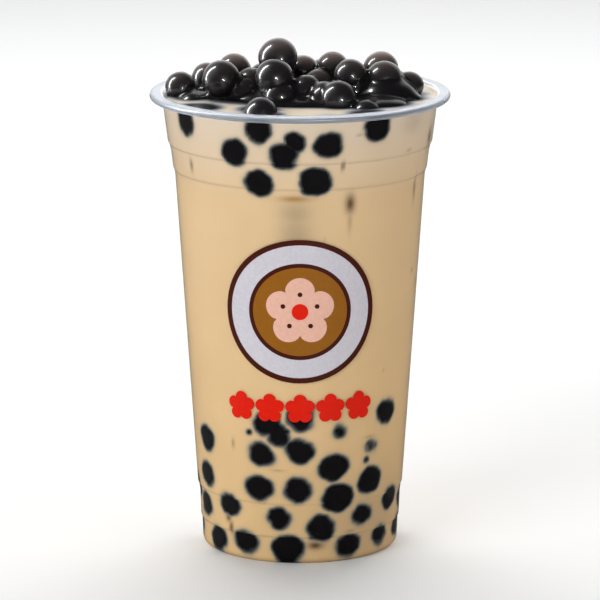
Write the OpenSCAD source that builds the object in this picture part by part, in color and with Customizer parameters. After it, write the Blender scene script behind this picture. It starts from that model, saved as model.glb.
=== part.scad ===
// Bubble tea: a tapered clear cup, filled with milk tea and heaped with tapioca pearls.
// The origin is the centre of the foot, where the cup stands, and +Z is up. Millimetres.

/* [Cup] */
// Height of the cup, from the surface it stands on to the top of the rim
cup_h = 146.5; // [110:0.5:180]
// Outer diameter of the wall, where it turns out into the rim
mouth_d = 87.3; // [70:0.1:110]
// Thickness of the clear wall
wall = 0.55; // [0.4:0.05:0.8]

/* [Rim] */
// Width of the rim, from the wall to its outer edge
rim_w = 3.85; // [3:0.05:6]
// Height of the rolled lip at the rim's outer edge
lip_h = 2.2; // [1.8:0.1:3]
// Radius at which the wall turns out into the rim, on the underside
rim_bend = 0.45; // [0.2:0.05:0.6]

/* [Neck] */
// Height of the neck, from the stacking step to the top of the rim
neck_h = 15.4; // [8:0.1:30]
// Depth of the stacking step under the neck
stack_step = 1; // [0.3:0.05:2]
// Height of the slope that makes the stacking step
stack_step_h = 3.1; // [1:0.1:6]
// Height of the plain band between the two steps
band_h = 5.4; // [2:0.1:12]
// Depth of the lower step
band_step = 0.65; // [0.3:0.05:2]
// Height of the slope that makes the lower step
band_step_h = 2.1; // [1:0.1:6]
// Slope of the neck's and the band's wall, in degrees from upright
neck_draft = 6.85; // [2:0.05:9]

/* [Body and foot] */
// Slope of the body's wall, in degrees from upright
body_draft = 3.85; // [2:0.05:5.5]
// Height of the heel, where the body's wall steps in to the foot
heel_h = 20.1; // [14:0.1:35]
// Depth of the step at the heel
heel_step = 0.7; // [0.3:0.05:1.5]
// Height of the slope that makes the heel's step
heel_step_h = 3.1; // [1:0.1:4]
// Height of the foot
foot_h = 8; // [5:0.1:9]
// Depth of the step above the foot
foot_step = 0.4; // [0.2:0.05:1]
// Height of the slope that makes the foot's step
foot_step_h = 1.2; // [0.5:0.1:1.5]
// Slope of the foot's wall, in degrees from upright
foot_draft = 2; // [0.5:0.1:4]
// Radius of the corner at the bottom of the foot
foot_round = 2; // [1:0.1:3.5]
// Width of the ring that the cup stands on
ring_w = 2.2; // [1:0.1:4]
// Height of the raised panel inside that ring
panel_h = 2.5; // [1.5:0.1:5]

/* [Drink] */
// Depth of the tea's surface below the top of the rim
tea_drop = 1.5; // [1.3:0.1:8]
// Clearance between the contents and what holds them
fit_gap = 0.05; // [0.02:0.01:0.2]
// Clearance between the outermost pearls of the heap and the wall
pearl_gap = 0.2; // [0.1:0.05:1]

/* [Pearls] */
// Diameter of a cooked pearl
pearl_d = 11.5; // [9:0.1:14]
// Height of the heap's core above the tea
core_rise = 7; // [5:0.5:9]
// Share of the mouth's width that the part of the core above the tea takes up
core_share = 0.65; // [0.5:0.05:0.8]
// Depth of the sunk layer of pearls that carries the heap
bed_depth = 6; // [4:0.5:10]
// Depth of the tea that covers this layer
bed_cover = 1; // [0.5:0.1:2]
// Space between this layer and the wall
bed_margin = 2; // [1:0.1:3]
// Length of the half-sunk row along the back of the rim for each pearl in it, in pearls
back_pitch = 1.08; // [1:0.01:1.4]
// The same for the row in front of it
inner_pitch = 1.31; // [1.1:0.01:1.7]
// The same for the ring round the middle of the heap
ring_pitch = 1.31; // [1.05:0.01:1.8]

/* [Hidden] */
$fn = 96;

tea_z = cup_h - tea_drop;
lip_r = lip_h / 2;

// The outside of the wall, as [radius, height] corners from the rim down
rim_turn_z = cup_h - wall - rim_bend;
neck_z = cup_h - neck_h;
stack_z = neck_z - stack_step_h;
band_z = stack_z - band_h;
body_z = band_z - band_step_h;
heel_z = heel_h - heel_step_h;
foot_z = foot_h + foot_step_h;

mouth_r = mouth_d / 2;
neck_r = mouth_r - (rim_turn_z - neck_z) * tan(neck_draft);
stack_r = neck_r - stack_step;
band_r = stack_r - band_h * tan(neck_draft);
body_r = band_r - band_step;
heel_r = body_r - (body_z - heel_h) * tan(body_draft);
heel_foot_r = heel_r - heel_step;
foot_top_r = heel_foot_r - (heel_z - foot_z) * tan(foot_draft);
foot_r = foot_top_r - foot_step;
corner_r = foot_r - (foot_h - foot_round) * tan(foot_draft);

ring_r = corner_r - foot_round;
panel_foot_r = ring_r - ring_w;
panel_r = panel_foot_r - panel_h;

// Arc of a circle about c, from angle a to angle b, as n + 1 points
function arc(c, r, a, b, n) = [
    for (i = [0:n])
        let (t = a + (b - a) * i / n)
            c + r * [cos(t), sin(t)]
];

function unit(v) = v / norm(v);
function left_of(v) = [-v[1], v[0]];

// The corner b of the outline a, b, c, moved d to the left of the way it runs
function moved_corner(a, b, c, d) =
    let (before = left_of(unit(b - a)), after = left_of(unit(c - b)))
        b + d * (before + after) / (1 + before * after);

// A whole outline, moved d to the left of the way it runs
function moved(path, d) =
    let (last = len(path) - 1)
        [
            for (i = [0:last])
                moved_corner(
                    i == 0 ? 2 * path[0] - path[1] : path[i - 1],
                    path[i],
                    i == last ? 2 * path[last] - path[last - 1] : path[i + 1],
                    d
                )
        ];

function reversed(path) = [for (i = [len(path) - 1:-1:0]) path[i]];

// The outside of the cup from the middle of its base to the top of its wall
wall_path = concat(
    [[0, panel_h], [panel_r, panel_h], [panel_foot_r, 0]],
    arc([ring_r, foot_round], foot_round, -90, 0, 6),
    [
        [foot_r, foot_h],
        [foot_top_r, foot_z],
        [heel_foot_r, heel_z],
        [heel_r, heel_h],
        [body_r, body_z],
        [band_r, band_z],
        [stack_r, stack_z],
        [neck_r, neck_z],
        [mouth_r, rim_turn_z]
    ]
);

// The underside of the rim, out and round inside the rolled lip
rim_path = concat(
    arc([mouth_r + rim_bend, rim_turn_z], rim_bend, 165, 90, 5),
    arc([mouth_r + rim_w - lip_r, cup_h - lip_r], lip_r - wall, 90, -100, 12)
);

module cup() {
    outside = concat(wall_path, rim_path);
    color([0.86, 0.90, 0.95, 0.35])
        rotate_extrude()
            polygon(concat(outside, reversed(moved(outside, wall))));
}

// What the cup holds, brimful, less a clearance to its wall
module cup_inside() {
    inside = moved(wall_path, wall + fit_gap);
    top_z = inside[len(inside) - 1][1];
    rotate_extrude()
        polygon(concat(inside, [[0, top_z]]));
}

module tea() {
    color([0.86, 0.78, 0.64])
        difference() {
            intersection() {
                cup_inside();
                cylinder(h = tea_z, r = mouth_r);
            }
            heap_shape(fit_gap);
        }
}

// Furthest that a pearl's centre lies from the axis, for the pearl to clear the wall
tea_r = mouth_r - (rim_turn_z - tea_z) * tan(neck_draft) - wall;
reach = tea_r - pearl_d / 2 - pearl_gap;

// The pearls of the heap as [angle from +X, share of the reach, height above the tea in
// pearl diameters, share of the pearl's diameter]: first those that lie half sunk in the tea
sunk_pearls = [
    [251, 1.00, 0.17, 0.94],
    [243, 0.76, 0.09, 0.93],
    [187, 0.92, -0.30, 0.92],
    [178, 1.02, 0.22, 0.84],
    [160, 0.85, 0.33, 0.82],
    [4, 0.93, 0.23, 0.82],
    [315, 0.83, 0.12, 0.93],
    [304, 0.58, 0.18, 1.00],
    [280, 0.30, 0.27, 0.92],
    [0, 0.16, 0.27, 0.92]
];

// then those that lie on them
raised_pearls = [
    [191, 0.68, 0.53, 1.03],
    [187, 0.43, 0.38, 0.82],
    [162, 0.59, 0.60, 0.95],
    [236, 0.39, 0.68, 1.03],
    [84, 0.27, 0.52, 0.90],
    [346, 0.44, 0.60, 0.93],
    [26, 0.31, 0.69, 0.90],
    [354, 0.72, 0.49, 1.03],
    [21, 0.74, 0.60, 0.97],
    [90, 0.44, 0.43, 0.88],
    [172, 0.19, 1.04, 1.08]
];

// and as many as fit on an arc centred on an angle, at a pitch, all a little uneven
function pearl_row(pitch, middle, arc_w, share, lift) =
    let (n = round(arc_w * PI / 180 * reach * share / (pearl_d * pitch)))
    [
        for (i = [0:n - 1])
            [
                middle + (i - (n - 1) / 2) * arc_w / n,
                share - 0.03 * sin(200 * i),
                lift + 0.06 * sin(140 * i),
                0.95 + 0.06 * sin(100 * i)
            ]
    ];

heap_pearls = concat(
    sunk_pearls,
    raised_pearls,
    pearl_row(back_pitch, 90, 140, 0.96, -0.04),
    pearl_row(inner_pitch, 90, 140, 0.67, 0.14),
    pearl_row(ring_pitch, 92, 360, 0.45, 0.30)
);

module pearl(p, grow) {
    translate([reach * p[1] * cos(p[0]), reach * p[1] * sin(p[0]), tea_z + pearl_d * p[2]])
        sphere(d = pearl_d * p[3] + 2 * grow);
}

// The heap out to its uneven outline: pearls over a low dome and the sunk layer under it
module heap_shape(grow) {
    dome_r = core_share * tea_r;
    dome_h = core_rise + bed_cover;
    ball_r = (dome_r * dome_r + dome_h * dome_h) / (2 * dome_h);
    for (p = heap_pearls) pearl(p, grow);
    intersection() {
        translate([0, 0, tea_z + core_rise - ball_r])
            sphere(r = ball_r + grow);
        translate([0, 0, tea_z - bed_depth])
            cylinder(h = bed_depth + core_rise + 1, r = tea_r);
    }
    translate([0, 0, tea_z - bed_cover - bed_depth - grow])
        cylinder(h = bed_depth + 2 * grow, r = tea_r - bed_margin + grow);
}

module pearl_heap() {
    color([0.13, 0.10, 0.10])
        heap_shape(0);
}

cup();
tea();
pearl_heap();
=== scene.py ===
import math

import bpy
import numpy as np
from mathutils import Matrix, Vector
from mathutils.bvhtree import BVHTree


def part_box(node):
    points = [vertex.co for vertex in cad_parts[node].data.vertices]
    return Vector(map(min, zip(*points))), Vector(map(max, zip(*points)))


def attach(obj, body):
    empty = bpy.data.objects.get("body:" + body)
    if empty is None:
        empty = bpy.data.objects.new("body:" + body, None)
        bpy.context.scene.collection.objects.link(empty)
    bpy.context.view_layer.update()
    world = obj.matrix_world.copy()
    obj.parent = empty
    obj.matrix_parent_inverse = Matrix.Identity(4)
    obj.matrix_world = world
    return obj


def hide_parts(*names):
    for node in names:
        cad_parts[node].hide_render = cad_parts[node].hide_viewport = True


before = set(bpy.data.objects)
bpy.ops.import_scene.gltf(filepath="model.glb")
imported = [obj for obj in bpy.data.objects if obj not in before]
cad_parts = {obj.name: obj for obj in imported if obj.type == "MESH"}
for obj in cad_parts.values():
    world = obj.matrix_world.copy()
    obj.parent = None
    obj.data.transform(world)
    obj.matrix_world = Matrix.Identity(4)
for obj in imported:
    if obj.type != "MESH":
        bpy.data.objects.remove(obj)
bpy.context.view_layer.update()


# --- The studio -----------------------------------------------------------------------
# A plain pale floor and soft light: a broad key from the front left, a tall strip on the
# left that draws a line down each pearl, a bright back and a dim front. Not part of the drink.

scene = bpy.context.scene
scene.view_settings.view_transform = "Standard"

camera_data = bpy.data.cameras.new("studio_camera")
camera_data.lens = 270.6
camera_data.sensor_width = 36.0
camera_data.clip_end = 50.0
camera = bpy.data.objects.new("studio_camera", camera_data)
camera.location = (0.0, -1.404, 0.3936)
camera.rotation_euler = (math.radians(90 - 12.64), 0.0, 0.0)
scene.collection.objects.link(camera)
scene.camera = camera


def softbox(name, place, aim, width, height, power, colour, gloss=True, diffuse=True):
    lamp = bpy.data.lights.new(name, "AREA")
    lamp.shape = "RECTANGLE"
    lamp.size = width
    lamp.size_y = height
    lamp.energy = power
    lamp.color = colour
    box = bpy.data.objects.new(name, lamp)
    box.location = place
    box.rotation_euler = (Vector(aim) - Vector(place)).to_track_quat("-Z", "Y").to_euler()
    box.visible_glossy = gloss
    box.visible_diffuse = diffuse
    scene.collection.objects.link(box)


white_light = (1.0, 1.0, 1.0)
body_middle = (0.0, 0.0, 0.08)
heap_middle = (0.0, 0.0, 0.155)
softbox("key_left", (-1.1, -1.3, 0.8), body_middle, 1.2, 1.2, 19.2, (0.94, 0.98, 1.0), gloss=False)
softbox("fill_right", (1.3, -1.0, 0.5), body_middle, 1.0, 1.0, 4.8, (1.0, 0.97, 0.92), gloss=False)
softbox("top_back", (0.0, 0.8, 1.1), heap_middle, 1.4, 0.8, 13.0, white_light, gloss=False)
softbox("strip_left", (-0.9, 0.12, 0.62), heap_middle, 0.15, 1.4, 26.0, white_light, diffuse=False)
for glint_x, glint_z in ((0.30, 0.27), (0.42, 0.20), (0.50, 0.12)):
    glint_place = (glint_x, -1.35, glint_z)
    softbox("glint", glint_place, heap_middle, 0.04, 0.04, 2.8, white_light, diffuse=False)

# The air is white to look at. It lights from the back, and mirrors show it dark but for the back
world = bpy.data.worlds.new("studio_air")
scene.world = world
world.use_nodes = True
air = world.node_tree
air.nodes.clear()
sky_way = air.nodes.new("ShaderNodeTexCoord")
sky_split = air.nodes.new("ShaderNodeSeparateXYZ")
sky_ramp = air.nodes.new("ShaderNodeMapRange")
sky_ramp.inputs["From Min"].default_value = -0.5
sky_ramp.inputs["From Max"].default_value = 0.6
sky_ramp.inputs["To Min"].default_value = 0.12
sky_ramp.inputs["To Max"].default_value = 1.0
sky_mirror = air.nodes.new("ShaderNodeMapRange")
sky_mirror.inputs["From Min"].default_value = 0.45
sky_mirror.inputs["From Max"].default_value = 0.97
sky_mirror.inputs["To Min"].default_value = 0.04
sky_mirror.inputs["To Max"].default_value = 1.8
sky_ray = air.nodes.new("ShaderNodeLightPath")
sky_kind = air.nodes.new("ShaderNodeMix")
sky_through = air.nodes.new("ShaderNodeMath")
sky_through.operation = "MAXIMUM"
sky_seen = air.nodes.new("ShaderNodeMath")
sky_seen.operation = "MAXIMUM"
sky = air.nodes.new("ShaderNodeBackground")
sky_out = air.nodes.new("ShaderNodeOutputWorld")
air.links.new(sky_way.outputs["Generated"], sky_split.inputs[0])
air.links.new(sky_split.outputs["Y"], sky_ramp.inputs["Value"])
air.links.new(sky_split.outputs["Y"], sky_mirror.inputs["Value"])
air.links.new(sky_ray.outputs["Is Glossy Ray"], sky_kind.inputs["Factor"])
air.links.new(sky_ramp.outputs["Result"], sky_kind.inputs["A"])
air.links.new(sky_mirror.outputs["Result"], sky_kind.inputs["B"])
air.links.new(sky_ray.outputs["Is Camera Ray"], sky_through.inputs[0])
air.links.new(sky_ray.outputs["Is Transmission Ray"], sky_through.inputs[1])
air.links.new(sky_kind.outputs["Result"], sky_seen.inputs[0])
air.links.new(sky_through.outputs[0], sky_seen.inputs[1])
air.links.new(sky_seen.outputs[0], sky.inputs["Strength"])
air.links.new(sky.outputs[0], sky_out.inputs[0])

# The floor is pale to look at, a little dimmer to light by, and dark in mirrors
bpy.ops.object.select_all(action="DESELECT")
bpy.ops.mesh.primitive_plane_add(size=14.0, location=(0.0, 0.0, 0.0))
floor = bpy.context.object
floor.name = "studio_floor"
floor_paint = bpy.data.materials.new("pale_floor")
floor_paint.use_nodes = True
tree = floor_paint.node_tree
floor_shader = tree.nodes["Principled BSDF"]
floor_shader.inputs["Roughness"].default_value = 0.8
floor_shader.inputs["Specular IOR Level"].default_value = 0.1
floor_ray = tree.nodes.new("ShaderNodeLightPath")
floor_bounce = tree.nodes.new("ShaderNodeMath")
floor_bounce.operation = "MULTIPLY_ADD"
floor_bounce.inputs[1].default_value = 0.12
floor_mirror = tree.nodes.new("ShaderNodeMath")
floor_mirror.operation = "SUBTRACT"
floor_mirror.use_clamp = True
floor_tone = tree.nodes.new("ShaderNodeMix")
floor_tone.data_type = "RGBA"
floor_tone.inputs["A"].default_value = (0.88, 0.88, 0.88, 1.0)
floor_tone.inputs["B"].default_value = (0.07, 0.07, 0.07, 1.0)
tree.links.new(floor_ray.outputs["Is Diffuse Ray"], floor_bounce.inputs[0])
tree.links.new(floor_ray.outputs["Is Glossy Ray"], floor_bounce.inputs[2])
tree.links.new(floor_bounce.outputs[0], floor_mirror.inputs[0])
tree.links.new(floor_ray.outputs["Is Transmission Ray"], floor_mirror.inputs[1])
tree.links.new(floor_mirror.outputs[0], floor_tone.inputs["Factor"])
tree.links.new(floor_tone.outputs["Result"], floor_shader.inputs["Base Color"])
floor.data.materials.append(floor_paint)


# --- The cup --------------------------------------------------------------------------
# A clear takeaway cup, drawn from one thin sheet of plastic: a raised base panel, a foot,
# a long tapered body, a neck above two steps, and a rim that turns out and rolls down.

MM = 0.001
cup_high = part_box("cup")[1]
cup_h = cup_high.z
rim_r = cup_high.x
wall = 0.55 * MM
lip_r = 1.1 * MM
rim_bend = 0.45 * MM

# Outside of the wall from the base panel up, as (radius, height)
wall_line = [
    (24.5 * MM, 2.5 * MM),
    (27.0 * MM, 0.0),
    (29.2 * MM, 0.0),
    (30.2 * MM, 0.27 * MM),
    (30.93 * MM, 1.0 * MM),
    (31.2 * MM, 2.0 * MM),
    (31.42 * MM, 8.0 * MM),
    (31.52 * MM, 8.8 * MM),
    (31.82 * MM, 9.2 * MM),
    (32.1 * MM, 17.0 * MM),
    (32.5 * MM, 19.6 * MM),
    (32.8 * MM, 20.1 * MM),
    (39.56 * MM, cup_h - 26.0 * MM),
    (39.86 * MM, cup_h - 24.4 * MM),
    (40.21 * MM, cup_h - 23.9 * MM),
    (40.86 * MM, cup_h - 18.5 * MM),
    (41.40 * MM, cup_h - 16.0 * MM),
    (41.86 * MM, cup_h - 15.4 * MM),
    (rim_r - 3.85 * MM, cup_h - wall - rim_bend),
]


def wall_radius(z):
    """Outer radius of the wall at a height above the foot, or at an array of heights."""
    return np.interp(z, [p[1] for p in wall_line[2:]], [p[0] for p in wall_line[2:]])


def rounded(points, radius, steps=3):
    """The same outline with each inner corner turned in a short curve."""
    out = [points[0]]
    for before, at, after in zip(points, points[1:], points[2:]):
        at = Vector(at)
        into = Vector(before) - at
        away = Vector(after) - at
        reach_in = min(radius, into.length * 0.45, away.length * 0.45)
        start = at + into.normalized() * reach_in
        end = at + away.normalized() * reach_in
        for i in range(steps + 1):
            t = i / steps
            out.append(tuple(start.lerp(at, t).lerp(at.lerp(end, t), t)))
    out.append(points[-1])
    return out


def arc(centre, radius, start, end, steps):
    angles = [math.radians(start + (end - start) * i / steps) for i in range(steps + 1)]
    return [(centre[0] + radius * math.cos(a), centre[1] + radius * math.sin(a)) for a in angles]


def turn(name, outline, sides):
    """Draws a ring out along an outline of (radius, height), as a potter draws up a wall."""
    bpy.ops.object.select_all(action="DESELECT")
    radius, height = outline[0]
    bpy.ops.mesh.primitive_circle_add(vertices=sides, radius=radius, location=(0, 0, height))
    piece = bpy.context.object
    piece.name = name
    bpy.ops.object.transform_apply(location=True)
    bpy.ops.object.mode_set(mode="EDIT")
    bpy.ops.mesh.select_mode(type="EDGE")
    bpy.ops.mesh.select_all(action="SELECT")
    for next_radius, next_height in outline[1:]:
        climb = (0, 0, next_height - height)
        grow = next_radius / radius
        bpy.ops.mesh.extrude_region_move(TRANSFORM_OT_translate={"value": climb})
        bpy.ops.transform.resize(value=(grow, grow, 1), center_override=(0, 0, next_height))
        radius, height = next_radius, next_height
    bpy.ops.object.mode_set(mode="OBJECT")
    return piece


def close_ring(piece, height, radius):
    """Fills the open ring of edges that lies at a height and a radius."""
    bpy.ops.object.mode_set(mode="EDIT")
    bpy.ops.mesh.select_mode(type="VERT")
    bpy.ops.mesh.select_all(action="DESELECT")
    bpy.ops.object.mode_set(mode="OBJECT")
    for v in piece.data.vertices:
        flat = math.hypot(v.co.x, v.co.y)
        v.select = abs(v.co.z - height) < 1e-5 and abs(flat - radius) < 1e-5
    bpy.ops.object.mode_set(mode="EDIT")
    bpy.ops.mesh.edge_face_add()
    bpy.ops.object.mode_set(mode="OBJECT")


def face_outwards(piece):
    """Turns every face the same way, with the outermost one facing out."""
    bpy.ops.object.mode_set(mode="EDIT")
    bpy.ops.mesh.select_all(action="SELECT")
    bpy.ops.mesh.normals_make_consistent(inside=False)
    bpy.ops.object.mode_set(mode="OBJECT")
    upright = [f for f in piece.data.polygons if abs(f.normal.z) < 0.5 and f.center.z < cup_h - 5 * MM]
    widest = max(upright, key=lambda f: f.center.x)
    if widest.normal.x < 0:
        piece.data.flip_normals()


cup_sides = 192
corner_r = 0.3 * MM
panel_middle = (8.0 * MM, 2.5 * MM)
mouth_r, turn_z = wall_line[-1]
cup_outline = rounded([panel_middle] + wall_line, corner_r)
cup_outline += arc((mouth_r + rim_bend, turn_z), rim_bend, 165, 90, 5)
cup_outline += arc((rim_r - lip_r, cup_h - lip_r), lip_r - wall, 90, -100, 14)
cup = turn("clear_cup", cup_outline, cup_sides)
close_ring(cup, panel_middle[1], panel_middle[0])
face_outwards(cup)
solid = cup.modifiers.new("wall", "SOLIDIFY")
solid.thickness = wall
solid.offset = -1.0
bpy.ops.object.modifier_apply(modifier="wall")
bpy.ops.object.shade_smooth()


def mottle_group():
    """The soft mottle every material here shares: one value that wanders between two ends."""
    group = bpy.data.node_groups.new("mottle", "ShaderNodeTree")
    for socket in ("Scale", "Detail", "Low", "High"):
        group.interface.new_socket(socket, in_out="INPUT", socket_type="NodeSocketFloat")
    group.interface.new_socket("Value", in_out="OUTPUT", socket_type="NodeSocketFloat")
    given = group.nodes.new("NodeGroupInput")
    place = group.nodes.new("ShaderNodeTexCoord")
    noise = group.nodes.new("ShaderNodeTexNoise")
    span = group.nodes.new("ShaderNodeMapRange")
    result = group.nodes.new("NodeGroupOutput")
    group.links.new(place.outputs["Object"], noise.inputs["Vector"])
    group.links.new(given.outputs["Scale"], noise.inputs["Scale"])
    group.links.new(given.outputs["Detail"], noise.inputs["Detail"])
    group.links.new(noise.outputs["Fac"], span.inputs["Value"])
    group.links.new(given.outputs["Low"], span.inputs["To Min"])
    group.links.new(given.outputs["High"], span.inputs["To Max"])
    group.links.new(span.outputs["Result"], result.inputs["Value"])
    return group


mottle = mottle_group()


def mottled(tree, scale, detail, low, high):
    """Puts the mottle into a material with values of its own."""
    node = tree.nodes.new("ShaderNodeGroup")
    node.node_tree = mottle
    node.inputs["Scale"].default_value = scale
    node.inputs["Detail"].default_value = detail
    node.inputs["Low"].default_value = low
    node.inputs["High"].default_value = high
    return node.outputs["Value"]


def clear_plastic(name, tint, roughness, clearness):
    """Clear plastic that lets lamps through to what it holds."""
    made = bpy.data.materials.new(name)
    made.use_nodes = True
    tree = made.node_tree
    shader = tree.nodes["Principled BSDF"]
    shader.inputs["Base Color"].default_value = tint
    shader.inputs["IOR"].default_value = 1.46
    shader.inputs["Transmission Weight"].default_value = clearness
    haze = mottled(tree, 120.0, 2.0, 0.6 * roughness, 1.4 * roughness)
    tree.links.new(haze, shader.inputs["Roughness"])
    ray = tree.nodes.new("ShaderNodeLightPath")
    either = tree.nodes.new("ShaderNodeMath")
    either.operation = "MAXIMUM"
    open_way = tree.nodes.new("ShaderNodeBsdfTransparent")
    mix = tree.nodes.new("ShaderNodeMixShader")
    tree.links.new(ray.outputs["Is Shadow Ray"], either.inputs[0])
    tree.links.new(ray.outputs["Is Diffuse Ray"], either.inputs[1])
    tree.links.new(either.outputs[0], mix.inputs[0])
    tree.links.new(shader.outputs[0], mix.inputs[1])
    tree.links.new(open_way.outputs[0], mix.inputs[2])
    tree.links.new(mix.outputs[0], tree.nodes["Material Output"].inputs["Surface"])
    return made


rim_start = mouth_r + 0.3 * MM
cup.data.materials.append(clear_plastic("clear_wall", (1.0, 1.0, 1.0, 1.0), 0.03, 1.0))
cup.data.materials.append(clear_plastic("milky_rim", (0.36, 0.395, 0.455, 1.0), 0.34, 0.76))
for face in cup.data.polygons:
    if math.hypot(face.center.x, face.center.y) > rim_start:
        face.material_index = 1
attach(cup, "root")
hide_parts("cup")


# --- The print ------------------------------------------------------------------------
# Ink on the outside of the wall: a round badge with a blossom, in flat fields of colour,
# and a line of small red flowers under it. Each field is a film of ink bent to the wall.


def ink(name, colour):
    """Printing ink, a little uneven in its colour."""
    made = bpy.data.materials.new(name)
    made.use_nodes = True
    tree = made.node_tree
    shader = tree.nodes["Principled BSDF"]
    shader.inputs["Roughness"].default_value = 0.35
    shader.inputs["Specular IOR Level"].default_value = 0.1
    tone = tree.nodes.new("ShaderNodeMix")
    tone.data_type = "RGBA"
    tone.inputs["A"].default_value = (*colour, 1.0)
    tone.inputs["B"].default_value = (*[c * 0.8 for c in colour], 1.0)
    tree.links.new(mottled(tree, 900.0, 2.0, 0.0, 1.0), tone.inputs["Factor"])
    tree.links.new(tone.outputs["Result"], shader.inputs["Base Color"])
    return made


brown_ink = ink("brown_ink", (0.075, 0.012, 0.006))
white_ink = ink("white_ink", (0.74, 0.70, 0.76))
ochre_ink = ink("ochre_ink", (0.36, 0.13, 0.010))
pink_ink = ink("pink_ink", (0.98, 0.56, 0.43))
red_ink = ink("red_ink", (0.90, 0.014, 0.002))


def corners(piece):
    co = np.empty(len(piece.data.vertices) * 3)
    piece.data.vertices.foreach_get("co", co)
    return co.reshape(-1, 3)


def move_corners(piece, co):
    piece.data.vertices.foreach_set("co", np.ascontiguousarray(co, float).ravel())
    piece.data.update()


ink_t = 0.03 * MM


def field(paint, middle, outer, inner=0.0, lift=0.0, petals=0, widen=1.0):
    """A disc, ring or blossom of ink round a middle of (across, up), bent to the wall."""
    rings = max(2, math.ceil((outer - inner) / (1.4 * MM)))
    bpy.ops.object.select_all(action="DESELECT")
    bpy.ops.mesh.primitive_circle_add(vertices=80, radius=outer)
    patch = bpy.context.object
    bpy.ops.object.mode_set(mode="EDIT")
    bpy.ops.mesh.select_mode(type="EDGE")
    bpy.ops.mesh.select_all(action="SELECT")
    last = max(inner, outer * 0.06)
    radius = outer
    for i in range(1, rings + 1):
        next_radius = outer + (last - outer) * i / rings
        share = next_radius / radius
        bpy.ops.mesh.extrude_region_move(TRANSFORM_OT_translate={"value": (0, 0, 0)})
        bpy.ops.transform.resize(value=(share, share, 1), center_override=(0, 0, 0))
        radius = next_radius
    if inner == 0:
        bpy.ops.mesh.edge_face_add()
    bpy.ops.object.mode_set(mode="OBJECT")
    co = corners(patch)
    angle = np.arctan2(co[:, 1], co[:, 0])
    flat = np.hypot(co[:, 0], co[:, 1])
    if petals:
        flat = flat * (0.70 + 0.30 * np.abs(np.cos(angle * petals / 2)) ** 0.7)
        angle = angle + math.pi / 2
    across = (middle[0] + flat * np.cos(angle)) * widen
    up = middle[1] + flat * np.sin(angle)
    skin = wall_radius(up) + lift
    round_by = across / wall_radius(up)
    move_corners(patch, np.stack([skin * np.sin(round_by), -skin * np.cos(round_by), up], axis=1))
    film = patch.modifiers.new("film", "SOLIDIFY")
    film.thickness = ink_t
    film.offset = 0.0
    bpy.ops.object.modifier_apply(modifier="film")
    patch.data.materials.append(paint)
    return patch


def join(name, pieces):
    """Makes one piece of several, with its place in its mesh."""
    bpy.ops.object.select_all(action="DESELECT")
    for piece in pieces:
        piece.select_set(True)
    bpy.context.view_layer.objects.active = pieces[0]
    bpy.ops.object.transform_apply(location=True, rotation=True, scale=True)
    bpy.ops.object.join()
    pieces[0].name = name
    return pieces[0]


badge_z = 83.2 * MM
badge = (0.0, badge_z)
badge_w = 1.05
badge_r = 23.2 * MM
white_r = 21.5 * MM
inner_line_r = 15.6 * MM
ochre_r = 14.3 * MM
blossom_r = 11.0 * MM
heart_r = 2.6 * MM
dot_r = 0.75 * MM
dots_at = 5.6 * MM
layer_t = 0.035 * MM
petals = 5
fields = [
    field(brown_ink, badge, badge_r, white_r, layer_t, widen=badge_w),
    field(white_ink, badge, white_r, inner_line_r, layer_t, widen=badge_w),
    field(brown_ink, badge, inner_line_r, ochre_r, layer_t, widen=badge_w),
    field(ochre_ink, badge, ochre_r, 0.0, layer_t, widen=badge_w),
    field(pink_ink, badge, blossom_r, 0.0, 2 * layer_t, petals=petals),
    field(red_ink, badge, heart_r, 0.0, 3 * layer_t),
]
for i in range(petals):
    spoke = math.radians(90 + 360 * i / petals)
    dot = (dots_at * math.cos(spoke), badge_z + dots_at * math.sin(spoke))
    fields.append(field(brown_ink, dot, dot_r, 0.0, 3 * layer_t))
printed_badge = join("printed_badge", fields)
row_z = 51.5 * MM
row_pitch = 9.7 * MM
flower_r = 4.8 * MM
fields = []
for i in range(-2, 3):
    fields.append(field(red_ink, (i * row_pitch, row_z), flower_r, 0.0, layer_t, petals=petals))
printed_row = join("printed_row", fields)
for piece in (printed_badge, printed_row):
    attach(piece, "root")


# --- The pearls sunk in the tea -------------------------------------------------------
# Cooked tapioca pearls, soft and near black, that have settled at the bottom of the cup
# and hang under the heap. Those at the wall are pressed flat against it and show as discs.

pearl_d = 11.5 * MM
tea_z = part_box("tea")[1].z
base_z = wall_line[0][1] + wall
rng = np.random.default_rng(7)

# Where each one shows at the wall: degrees round from the front, millimetres above the
# foot, and the radius of its flat in millimetres
foot_discs = [
    (-56, 5.5, 4.0), (-33, 6.6, 3.8), (-7, 5.4, 4.5), (29, 5.5, 3.5), (54, 6.7, 3.2), (78, 7, 3.3),
    (13, 11.8, 3.9), (-69, 15, 3.7), (-12, 15.5, 3.6), (38, 15.1, 3.1), (84, 16, 3.6),
    (-44, 18.2, 4.0), (62, 18.4, 4.0), (21, 21.9, 5.0), (-63, 26, 3.9), (-23, 25.1, 4.0),
    (-1, 25.1, 3.8), (42, 26.5, 4.5), (18, 32.3, 4.3), (-61, 38.1, 3.7), (-22, 36.4, 3.4),
    (0, 38, 3.7), (42, 37.1, 1.6), (-18, 46.2, 3.9), (-12, 42.8, 3.3), (22, 44, 1.6),
    (0, 48.6, 4.0), (52, 47.9, 3.6),
]
rim_discs = [
    (-56, 141.5, 3.8), (-29, 134.3, 3.9), (-7, 134, 4.1), (-2, 138.2, 2.6), (12, 137.1, 4.1),
    (34, 142.0, 4.2), (-19, 124.9, 4.0), (7, 125.6, 4.7), (-18, 142.2, 4.0),
]
# Broken bits of pearl at the wall, the same way
crumbs = [(-28, 43, 0.5), (-7, 44, 0.8), (39, 33, 0.8)]


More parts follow.
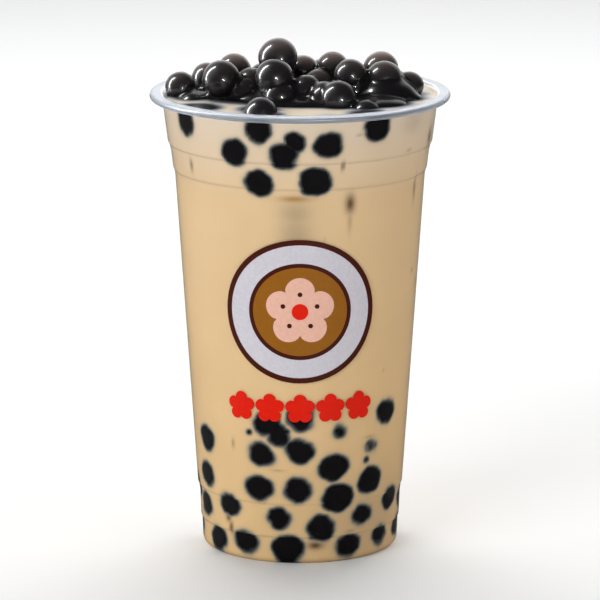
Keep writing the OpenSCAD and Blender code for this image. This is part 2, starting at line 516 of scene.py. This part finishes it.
def at_wall(degrees, height, deep):
    turned = math.radians(degrees - 90)
    r = wall_radius(height) - wall - deep
    return Vector((r * math.cos(turned), r * math.sin(turned), height))


def cooked_pearl(radius, place, detail, out_of_round):
    """A ball drawn a little out of round, as a soft pearl is."""
    bpy.ops.object.select_all(action="DESELECT")
    bpy.ops.mesh.primitive_ico_sphere_add(
        subdivisions=detail,
        radius=radius,
        location=place,
        rotation=rng.uniform(0, 2 * math.pi, 3),
        scale=rng.uniform(1 - out_of_round, 1 + out_of_round * 0.6, 3),
    )
    return bpy.context.object


def uneven(piece, lump_size, depth):
    """Presses soft lumps of a size into a piece."""
    lumps = bpy.data.textures.new("lumps", "CLOUDS")
    lumps.noise_scale = lump_size
    press = piece.modifiers.new("lumps", "DISPLACE")
    press.texture = lumps
    press.texture_coords = "LOCAL"
    press.strength = depth
    press.mid_level = 0.5
    bpy.context.view_layer.objects.active = piece
    bpy.ops.object.modifier_apply(modifier="lumps")


def spread(degrees, heights, count, apart, taken):
    """Places at the wall, at random but never nearer than apart to one another."""
    out = []
    for _ in range(4000):
        place = (rng.uniform(*degrees), rng.uniform(*heights), rng.uniform(2.8, 4.6))
        here = at_wall(place[0], place[1] * MM, 0)
        clear = all((here - at_wall(d, h * MM, 0)).length > apart for d, h, _ in taken + out)
        if clear and len(out) < count:
            out.append(place)
    return out


# The back has pearls in the same two bands
discs = foot_discs + rim_discs
discs += spread((92, 276), (5, 50), 48, 9.6 * MM, foot_discs)
discs += spread((96, 264), (124, 141), 10, 12 * MM, rim_discs)
pearls = []
for degrees, height, flat in discs:
    flat = 0.94 * flat
    size = max(pearl_d / 2 * rng.uniform(0.94, 1.05), flat * 1.12 * MM)
    if flat < 2.5:
        size = size * 0.6
    deep = math.sqrt(size ** 2 - (flat * MM) ** 2)
    pearls.append(cooked_pearl(size, at_wall(degrees, height * MM, deep), 4, 0.06))
for degrees, height, flat in crumbs:
    pearls.append(cooked_pearl(flat * 1.3 * MM, at_wall(degrees, height * MM, flat * 0.8 * MM), 3, 0.3))
# Two rings of pearls lie on the base
for ring_r, count in ((6 * MM, 3), (17 * MM, 8)):
    for i in range(count):
        angle = 2 * math.pi * (i + rng.uniform(-0.2, 0.2)) / count
        place = (ring_r * math.cos(angle), ring_r * math.sin(angle), base_z + pearl_d * 0.4)
        pearls.append(cooked_pearl(pearl_d / 2, place, 3, 0.06))
sunk = join("sunk_pearls", pearls)
uneven(sunk, 4.2 * MM, 1.5 * MM)
uneven(sunk, 1.6 * MM, 0.35 * MM)
bpy.ops.object.shade_smooth()


def skin_of(piece):
    """A search tree of a piece's faces, to measure how far a point lies from it."""
    faces = [tuple(p.vertices) for p in piece.data.polygons]
    return BVHTree.FromPolygons([v.co.copy() for v in piece.data.vertices], faces)


def gap_to(skin, points, limit):
    """How far outside a piece each point lies, under nothing where it lies inside."""
    out = np.full(len(points), limit)
    for i, p in enumerate(points):
        near, normal, _, far = skin.find_nearest(p, limit)
        if near is not None:
            out[i] = far if (Vector(p) - near).dot(normal) > 0 else -far
    return out


sunk_skin = skin_of(sunk)
pearl_into_wall = 0.14 * MM


def hold_in_cup(co, into_wall, top):
    """Presses what reaches past the inside of the cup flat against it."""
    flat_r = np.hypot(co[:, 0], co[:, 1])
    most = wall_radius(co[:, 2]) - wall + into_wall
    co[:, :2] *= np.minimum(1, most / np.maximum(flat_r, 1e-9))[:, None]
    floor_r = [wall_line[0][0], wall_line[1][0]]
    least = np.interp(np.hypot(co[:, 0], co[:, 1]), floor_r, [base_z, wall]) - into_wall
    co[:, 2] = np.clip(co[:, 2], least, top)
    return co


move_corners(sunk, hold_in_cup(corners(sunk), pearl_into_wall, tea_z - 0.3 * MM))


def pearl_skin(name, shade, gloss, shine, coat):
    """The skin of a cooked pearl: near black, with brown painted light on top where light from behind would
    come through it.
    """
    made = bpy.data.materials.new(name)
    made.use_nodes = True
    tree = made.node_tree
    shader = tree.nodes["Principled BSDF"]
    # Painted light: brown laid over the dark skin by an attribute, for light coming through from behind
    lit = tree.nodes.new("ShaderNodeAttribute")
    lit.attribute_name = "painted_backlight"
    dark = tree.nodes.new("ShaderNodeMix")
    dark.data_type = "RGBA"
    dark.inputs["A"].default_value = (0.90 * shade, 0.80 * shade, 1.00 * shade, 1.0)
    dark.inputs["B"].default_value = (1.50 * shade, 1.15 * shade, 1.35 * shade, 1.0)
    tone = tree.nodes.new("ShaderNodeMix")
    tone.data_type = "RGBA"
    tone.inputs["B"].default_value = (0.215, 0.155, 0.135, 1.0)
    tree.links.new(mottled(tree, 260.0, 2.0, 0.0, 1.0), dark.inputs["Factor"])
    tree.links.new(dark.outputs["Result"], tone.inputs["A"])
    tree.links.new(lit.outputs["Fac"], tone.inputs["Factor"])
    tree.links.new(tone.outputs["Result"], shader.inputs["Base Color"])
    shader.inputs["Roughness"].default_value = gloss
    shader.inputs["IOR"].default_value = 1.42
    shader.inputs["Specular IOR Level"].default_value = shine
    shader.inputs["Coat Weight"].default_value = coat
    shader.inputs["Coat Roughness"].default_value = 0.06
    return made


sunk.data.materials.append(pearl_skin("sunk_pearl_skin", 0.004, 0.6, 0.0, 0.0))
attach(sunk, "root")


# --- The heap of pearls ---------------------------------------------------------------
# Whole cooked pearls heaped over the rim. Syrup fills between them and runs out over the
# tea in a thin dark film, and the smaller core under them is the same syrup.

mouth_in_r = float(wall_radius(tea_z)) - wall
reach = mouth_in_r - pearl_d / 2 - 0.2 * MM

# Each pearl as (degrees from the right, share of the reach, height above the tea in
# pearls, share of a pearl's size): those that show, then rows that fill in behind them
heap = [
    (251, 1.00, 0.02, 0.94), (243, 0.76, -0.22, 0.93), (187, 0.92, -0.30, 0.92), (178, 1.02, 0.22, 0.84),
    (160, 0.85, 0.33, 0.82), (4, 0.93, 0.23, 0.82), (315, 0.78, -0.26, 0.93), (304, 0.58, 0.18, 1.00),
    (280, 0.30, 0.27, 0.92), (0, 0.16, 0.27, 0.92), (191, 0.68, 0.53, 1.03), (187, 0.43, 0.38, 0.82),
    (162, 0.59, 0.60, 0.95), (236, 0.39, 0.68, 1.03), (84, 0.27, 0.52, 0.90), (346, 0.44, 0.60, 0.93),
    (26, 0.31, 0.69, 0.90), (354, 0.72, 0.49, 1.03), (21, 0.74, 0.60, 0.97), (90, 0.44, 0.43, 0.88),
    (172, 0.19, 1.04, 1.08),
]
shown = len(heap)


def pearl_row(count, middle, arc_w, share, lift):
    for i in range(count):
        yield (
            middle + (i - (count - 1) / 2) * arc_w / count,
            share - 0.03 * math.sin(math.radians(200 * i)),
            lift + 0.06 * math.sin(math.radians(140 * i)),
            0.95 + 0.06 * math.sin(math.radians(100 * i)),
        )


# Two rows along the back and a ring round the middle
heap += pearl_row(7, 90, 140, 0.96, -0.04)
heap += pearl_row(4, 90, 140, 0.67, 0.14)
heap += pearl_row(7, 92, 360, 0.45, 0.14)


def on_tea(across, back, up):
    return Vector((across, back, tea_z + up))


centres = []
for degrees, share, lift, size in heap:
    turned = math.radians(degrees)
    out_by = reach * share
    centres.append(on_tea(out_by * math.cos(turned), out_by * math.sin(turned), pearl_d * lift))
radii = [pearl_d * row[3] / 2 for row in heap]
pearls = []
for i, (place, radius) in enumerate(zip(centres, radii)):
    pearls.append(cooked_pearl(radius, place, 4 if i < shown else 3, 0.025))
top_pearls = join("heap_pearls", pearls)
uneven(top_pearls, 6.0 * MM, 0.4 * MM)
bpy.ops.object.shade_smooth()


def add_values(piece, name, values):
    layer = piece.data.attributes.new(name, "FLOAT", "POINT")
    layer.data.foreach_set("value", np.ascontiguousarray(values, np.float32))


# Painted light: the tops of the pearls that stand high and at the back are painted brown, for light from
# behind coming through them
co = corners(top_pearls)
middles = np.array(centres)
own = np.argmin(((co[:, None, :] - middles[None]) ** 2).sum(axis=2) / np.array(radii) ** 2, axis=1)
outward = co - middles[own]
outward /= np.linalg.norm(outward, axis=1)[:, None]
upper_back = np.clip(outward @ np.array([0.0, 0.0, 1.0]), 0, 1) ** 1.8
stands_high = np.clip((middles[own, 2] - tea_z) / (6 * MM), 0, 1)
stands_back = np.clip((middles[own, 1] + 7 * MM) / (14 * MM), 0.05, 1.0)
add_values(top_pearls, "painted_backlight", upper_back * stands_high * stands_back)
top_pearls.data.materials.append(pearl_skin("heap_pearl_skin", 0.009, 0.36, 0.42, 0.7))
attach(top_pearls, "root")
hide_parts("pearl_heap")


def blob(place, size):
    """A drop of syrup, as a ball drawn out to a size each way."""
    bpy.ops.object.select_all(action="DESELECT")
    bpy.ops.mesh.primitive_uv_sphere_add(segments=48, ring_count=24, radius=1.0, location=place, scale=size)
    return bpy.context.object


# A film over the tea, the core under the heap, then smaller runs right, front and left
drops = [
    blob(on_tea(0, 8 * MM, -1.4 * MM), (36 * MM, 28 * MM, 2.8 * MM)),
    blob(on_tea(-1 * MM, 3 * MM, -1.0 * MM), (26 * MM, 20 * MM, 6.0 * MM)),
    blob(on_tea(27 * MM, -4 * MM, 0.6 * MM), (10 * MM, 9 * MM, 6.0 * MM)),
    blob(on_tea(33 * MM, -5 * MM, 0), (6 * MM, 5 * MM, 1.8 * MM)),
    blob(on_tea(24 * MM, -14 * MM, -0.4 * MM), (10 * MM, 8 * MM, 2.6 * MM)),
    blob(on_tea(4 * MM, -15 * MM, -0.4 * MM), (20 * MM, 7 * MM, 2.6 * MM)),
    blob(on_tea(-30 * MM, 0, -0.2 * MM), (9 * MM, 7 * MM, 2.0 * MM)),
]
pearl_inset = 0.08 * MM
for place, radius in zip(centres, radii):
    drops.append(blob(place, [radius - pearl_inset] * 3))
syrup = join("heap_syrup", drops)
melt = syrup.modifiers.new("melt", "REMESH")
melt.mode = "VOXEL"
melt.voxel_size = 0.55 * MM
bpy.ops.object.modifier_apply(modifier="melt")
settle = syrup.modifiers.new("settle", "SMOOTH")
settle.factor = 0.5
settle.iterations = 34
bpy.ops.object.modifier_apply(modifier="settle")
bpy.ops.object.shade_smooth()
move_corners(syrup, hold_in_cup(corners(syrup), 0.0, tea_z + 30 * MM))
add_values(syrup, "painted_backlight", np.zeros(len(syrup.data.vertices)))
syrup.data.materials.append(pearl_skin("syrup", 0.006, 0.30, 0.3, 0.5))
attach(syrup, "root")


# --- The tea --------------------------------------------------------------------------
# Milk tea, thick enough to hide all but what lies within a millimetre or two of the wall.
# A pearl behind a thin film of it shows blue-grey. It fills the cup and reaches into its wall.

tea_into_wall = 0.10 * MM
tea_sides = 352
fine = 0.62 * MM
coarse = 1.25 * MM
heights = np.concatenate([
    np.arange(2.6 * MM, 54 * MM, fine),
    np.arange(54 * MM, 112 * MM, coarse),
    np.arange(112 * MM, tea_z - 0.3 * MM, fine),
])
tea_line = [(r * MM, base_z - tea_into_wall) for r in np.linspace(2.0, 24.7, 17)]
tea_line += [
    (27.2 * MM, wall - tea_into_wall),
    (29.1 * MM, wall - tea_into_wall),
    (30.3 * MM, 0.9 * MM),
    (30.7 * MM, 2.0 * MM),
]
ledges = [z for _, z in wall_line if heights[0] < z < heights[-1]]
heights = np.unique(np.concatenate([heights, ledges]).round(7))
tea_line += [(float(wall_radius(z)) - wall + tea_into_wall, float(z)) for z in heights]
tea_line.append((mouth_in_r + tea_into_wall, tea_z + 0.35 * MM))
tea_line += [(mouth_in_r - step * MM, tea_z) for step in (0.3, 0.8, 1.4)]
tea_line += [(r * MM, tea_z) for r in np.arange(40.8, 1.0, -1.0)]
tea = turn("milk_tea", tea_line, tea_sides)
close_ring(tea, tea_line[0][1], tea_line[0][0])
close_ring(tea, tea_z, tea_line[-1][0])
face_outwards(tea)
bpy.ops.object.shade_smooth()

# How much tea lies in front of the nearest pearl, in millimetres
points = corners(tea)
hidden_at = 8 * MM
film = np.minimum(gap_to(sunk_skin, points, hidden_at), hidden_at)
near_top = points[:, 2] > tea_z - 2 * hidden_at
for skin in (skin_of(top_pearls), skin_of(syrup)):
    film[near_top] = np.minimum(film[near_top], gap_to(skin, points[near_top], hidden_at))
film = np.maximum(film, 0) / MM
flat_r = np.hypot(points[:, 0], points[:, 1])
on_top = (points[:, 2] > tea_z - 0.1 * MM) & (flat_r < mouth_in_r - 0.1 * MM)
depth_seen = np.where(on_top, 2.1, 0.48)
behind = 0.9 * np.exp(-film / depth_seen) + 0.1 * np.exp(-film / 2.4)
behind[film >= 7.9] = 0
add_values(tea, "behind", behind)

# Marks that syrup has left in the tea: degrees round from the front, millimetres above
# the foot, half width, half height, and strength
syrup_marks = [
    (23.5, 117.3, 1.4, 2.6, 0.95), (23.5, 112.0, 0.7, 3.5, 0.35), (18.9, 129.8, 0.5, 1.3, 0.9),
    (-56.6, 126.9, 0.7, 1.8, 0.7), (65.8, 118.5, 0.7, 3.2, 0.6), (74.7, 134.0, 1.6, 2.6, 0.8),
    (11.4, 105.9, 0.4, 0.4, 0.8), (25.4, 139.5, 0.9, 0.3, 0.5),
    (54.4, 132.1, 1.2, 0.4, 0.4), (-38.6, 38.5, 0.5, 1.3, 0.5), (70, 91.2, 0.5, 0.6, 0.6),
    (79, 86.2, 0.8, 1.2, 0.5), (48, 61.1, 0.4, 0.4, 0.5), (9, 6.2, 2.3, 1.2, 1.0),
    (-45.5, 13.2, 1.0, 1.2, 1.0), (-43.5, 9.9, 0.8, 1.8, 0.9), (-12, 31.0, 1.8, 0.35, 0.35),
    (40, 40.5, 1.6, 0.4, 0.35), (-20, 21.0, 0.5, 0.9, 0.4), (30, 10.0, 1.4, 0.3, 0.4),
]
# Painted shade in the tea, placed the same way: under the pearls near the rim, by the rim,
# and a broad soft patch low on the right
shadow_marks = [
    (-2.0, 114.5, 4.6, 4.0, 0.46), (-2.0, 108.0, 4.8, 6.5, 0.46), (56, 141, 5.0, 3.0, 0.25),
    (44, 14, 17.0, 13.0, 0.34), (20, 26, 8.0, 10.0, 0.16),
]
# A thin line of brown sugar under the lowest of those pearls, the same way
ochre_marks = [(-2.4, 119.4, 4.2, 0.8, 0.85)]


def marks_at(points, marks):
    """How strongly soft-edged marks on the wall show at each point."""
    turned = np.degrees(np.arctan2(points[:, 0], -points[:, 1]))
    out = np.zeros(len(points))
    for degrees, height, half_w, half_h, strength in marks:
        across = np.radians(turned - degrees) * wall_radius(height * MM) / (half_w * MM)
        up = (points[:, 2] - height * MM) / (half_h * MM)
        out = np.maximum(out, strength * np.exp(-0.7 * (across ** 2 + up ** 2)))
    return np.where(np.hypot(points[:, 0], points[:, 1]) > 28 * MM, out, 0)


add_values(tea, "stain", marks_at(points, syrup_marks))
add_values(tea, "ochre", marks_at(points, ochre_marks))
shade = marks_at(points, shadow_marks)
# A line of shade lies under each ledge of the wall
for ledge, strength in ((131.1, 0.30), (122.6, 0.30), (20.1, 0.16), (9.2, 0.30)):
    under = (points[:, 2] / MM - ledge + 0.35) / 0.32
    shade = np.maximum(shade, np.where(on_top, 0, strength * np.exp(-under ** 2)))
add_values(tea, "shade", shade)


def milk_tea(name, low, high, film_hues, roughness, shine):
    """Milk tea from its low colour to its high one, with what shows through it."""
    made = bpy.data.materials.new(name)
    made.use_nodes = True
    tree = made.node_tree
    shader = tree.nodes["Principled BSDF"]
    place = tree.nodes.new("ShaderNodeTexCoord")
    split = tree.nodes.new("ShaderNodeSeparateXYZ")
    tree.links.new(place.outputs["Object"], split.inputs[0])
    height = tree.nodes.new("ShaderNodeMapRange")
    height.inputs["From Min"].default_value = 0.02
    height.inputs["From Max"].default_value = 0.13
    tree.links.new(split.outputs["Z"], height.inputs["Value"])
    body = tree.nodes.new("ShaderNodeMix")
    body.data_type = "RGBA"
    body.inputs["A"].default_value = (*low, 1.0)
    body.inputs["B"].default_value = (*high, 1.0)
    tree.links.new(height.outputs["Result"], body.inputs["Factor"])
    neck = tree.nodes.new("ShaderNodeMapRange")
    neck.inputs["From Min"].default_value = 0.118
    neck.inputs["From Max"].default_value = 0.146
    tree.links.new(split.outputs["Z"], neck.inputs["Value"])
    paler = tree.nodes.new("ShaderNodeMix")
    paler.data_type = "RGBA"
    paler.inputs["B"].default_value = (*[0.55 * c + 0.33 for c in high], 1.0)
    tree.links.new(neck.outputs["Result"], paler.inputs["Factor"])
    tree.links.new(body.outputs["Result"], paler.inputs["A"])
    clouded = tree.nodes.new("ShaderNodeVectorMath")
    clouded.operation = "SCALE"
    tree.links.new(paler.outputs["Result"], clouded.inputs[0])
    tree.links.new(mottled(tree, 38.0, 3.0, 0.90, 1.08), clouded.inputs["Scale"])
    colour = clouded.outputs[0]
    # The shade layer is painted shade; stain and ochre are the tea's own marks
    layers = (
        ("shade", (0.19, 0.155, 0.120)),
        ("stain", (0.085, 0.035, 0.018)),
        ("ochre", (0.43, 0.21, 0.05)),
    )
    for name_of, tint in layers:
        value = tree.nodes.new("ShaderNodeAttribute")
        value.attribute_name = name_of
        over = tree.nodes.new("ShaderNodeMix")
        over.data_type = "RGBA"
        over.inputs["B"].default_value = (*tint, 1.0)
        tree.links.new(value.outputs["Fac"], over.inputs["Factor"])
        tree.links.new(colour, over.inputs["A"])
        colour = over.outputs["Result"]
    seen = tree.nodes.new("ShaderNodeAttribute")
    seen.attribute_name = "behind"
    hue = tree.nodes.new("ShaderNodeValToRGB")
    for at in (0.35, 0.65):
        hue.color_ramp.elements.new(at)
    for element, tint in zip(hue.color_ramp.elements, film_hues):
        element.color = (*tint, 1.0)
    cover = tree.nodes.new("ShaderNodeMapRange")
    cover.interpolation_type = "SMOOTHSTEP"
    cover.inputs["From Max"].default_value = 0.45
    last = tree.nodes.new("ShaderNodeMix")
    last.data_type = "RGBA"
    tree.links.new(seen.outputs["Fac"], hue.inputs["Fac"])
    tree.links.new(seen.outputs["Fac"], cover.inputs["Value"])
    tree.links.new(cover.outputs["Result"], last.inputs["Factor"])
    tree.links.new(colour, last.inputs["A"])
    tree.links.new(hue.outputs["Color"], last.inputs["B"])
    tree.links.new(last.outputs["Result"], shader.inputs["Base Color"])
    shader.inputs["Roughness"].default_value = roughness
    shader.inputs["Specular IOR Level"].default_value = shine
    return made


tea_low = (0.820, 0.550, 0.272)
tea_high = (0.840, 0.595, 0.340)
tea_top = (0.930, 0.690, 0.350)
# A pearl under more and less tea, from the thickest film to none
wall_hues = [(0.52, 0.43, 0.30), (0.20, 0.190, 0.155), (0.050, 0.055, 0.058), (0.004, 0.005, 0.006)]
top_hues = [(0.66, 0.64, 0.60), (0.36, 0.375, 0.40), (0.12, 0.13, 0.145), (0.012, 0.012, 0.014)]
tea.data.materials.append(milk_tea("milk_tea_at_wall", tea_low, tea_high, wall_hues, 0.6, 0.0))
tea.data.materials.append(milk_tea("milk_tea_surface", tea_top, tea_top, top_hues, 0.28, 0.05))
for face in tea.data.polygons:
    if face.center.z > tea_z - 0.1 * MM:
        face.material_index = 1
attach(tea, "root")
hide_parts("tea")
